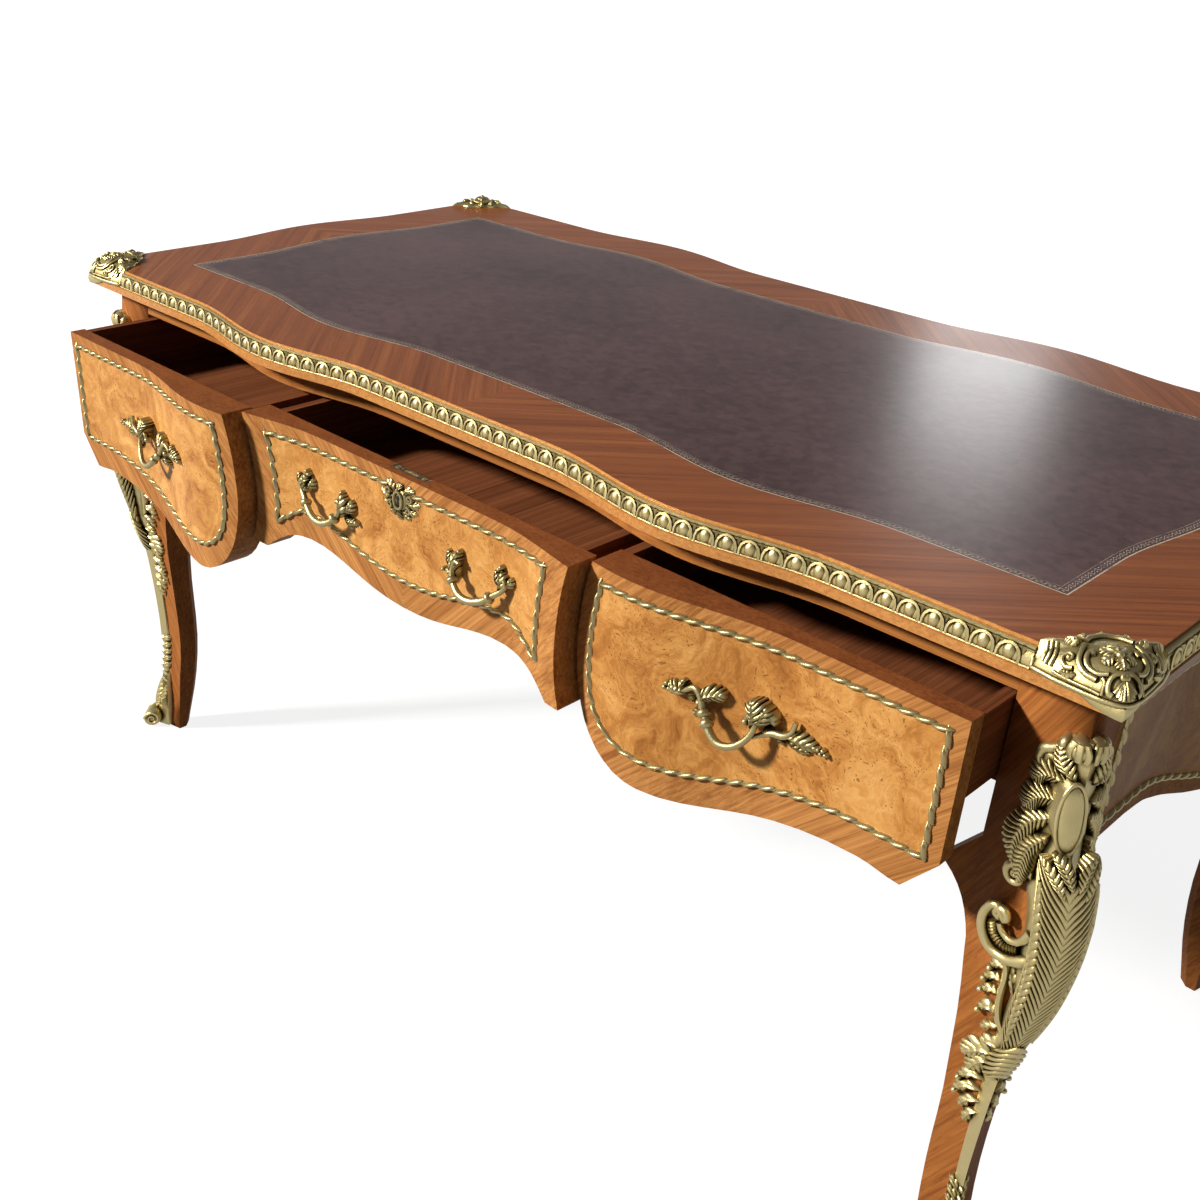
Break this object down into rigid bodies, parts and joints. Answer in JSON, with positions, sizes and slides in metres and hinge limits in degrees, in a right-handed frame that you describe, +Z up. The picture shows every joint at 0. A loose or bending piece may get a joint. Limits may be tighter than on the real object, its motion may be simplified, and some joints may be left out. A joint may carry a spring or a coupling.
{
  "type": "bureau plat",
  "caption": "Flat-topped writing desk with a leather inset, crossbow front, lockable centre drawer flanked by side drawers, cabriole legs and gilt brass mounts.",
  "frame": {"origin": "on the floor, under the middle of the bounding box with the drawers standing open as pictured", "axes": "+X to the sitter's right along the desk's length, +Y from the drawers to the back, +Z up"},
  "size_m": [1.596, 0.9078, 0.7895],
  "materials": {
    "veneer": "polished reddish veneer laid in a chevron",
    "burr": "polished burr veneer with a crossband",
    "walnut": "polished straight-grained veneer",
    "carcass": "stained plain timber",
    "leather": "satin, with a gilt tooled border",
    "brass": "cast, chased and gilt-lacquered",
    "steel": "dull iron lock case"
  },
  "bodies": {
    "desk": {"top_panel": "veneer", "leather_inset": "leather", "edge_moulding_front": "brass", "edge_moulding_back": "brass", "edge_moulding_left": "brass", "edge_moulding_right": "brass", "corner_clasp_front_left": "brass", "corner_clasp_front_right": "brass", "corner_clasp_back_left": "brass", "corner_clasp_back_right": "brass", "leg_front_left": "walnut", "leg_front_right": "walnut", "leg_back_left": "walnut", "leg_back_right": "walnut", "leg_mount_front_left": "brass", "leg_mount_front_right": "brass", "leg_mount_back_left": "brass", "leg_mount_back_right": "brass", "sabot_front_left": "brass", "sabot_front_right": "brass", "sabot_back_left": "brass", "sabot_back_right": "brass", "side_apron_left": "burr", "side_apron_right": "burr", "side_bead_left": "brass", "side_bead_right": "brass", "back_apron": "burr", "back_bead_left": "brass", "back_bead_centre": "brass", "back_bead_right": "brass", "drawer_divider_left": "carcass", "drawer_divider_right": "carcass", "outer_runner_left": "carcass", "outer_runner_right": "carcass", "front_top_rail": "walnut"},
    "left_drawer": {"left_drawer_front": "burr", "left_drawer_bead": "brass", "left_drawer_pull": "brass", "left_drawer_side_left": "carcass", "left_drawer_side_right": "carcass", "left_drawer_back": "carcass", "left_drawer_bottom": "carcass"},
    "right_drawer": {"right_drawer_front": "burr", "right_drawer_bead": "brass", "right_drawer_pull": "brass", "right_drawer_side_left": "carcass", "right_drawer_side_right": "carcass", "right_drawer_back": "carcass", "right_drawer_bottom": "carcass"},
    "centre_drawer": {"centre_drawer_front": "burr", "centre_drawer_bead": "brass", "centre_drawer_pull_left": "brass", "centre_drawer_pull_right": "brass", "centre_drawer_side_left": "carcass", "centre_drawer_side_right": "carcass", "centre_drawer_back": "carcass", "centre_drawer_bottom": "carcass", "escutcheon": "brass", "lock_case": "steel"},
    "bolt": {"lock_bolt": "brass"}
  },
  "joints": [
    {"name": "left_drawer_slide", "type": "slide", "parent": "desk", "child": "left_drawer", "axis": [0, -1, 0], "range_m": [-0.12, 0.24]},
    {"name": "centre_drawer_slide", "type": "slide", "parent": "desk", "child": "centre_drawer", "axis": [0, -1, 0], "range_m": [-0.097, 0.263]},
    {"name": "right_drawer_slide", "type": "slide", "parent": "desk", "child": "right_drawer", "axis": [0, -1, 0], "range_m": [-0.068, 0.292]},
    {"name": "lock_bolt_slide", "type": "slide", "parent": "centre_drawer", "child": "bolt", "axis": [0, 0, 1], "range_m": [0, 0.008]}
  ]
}
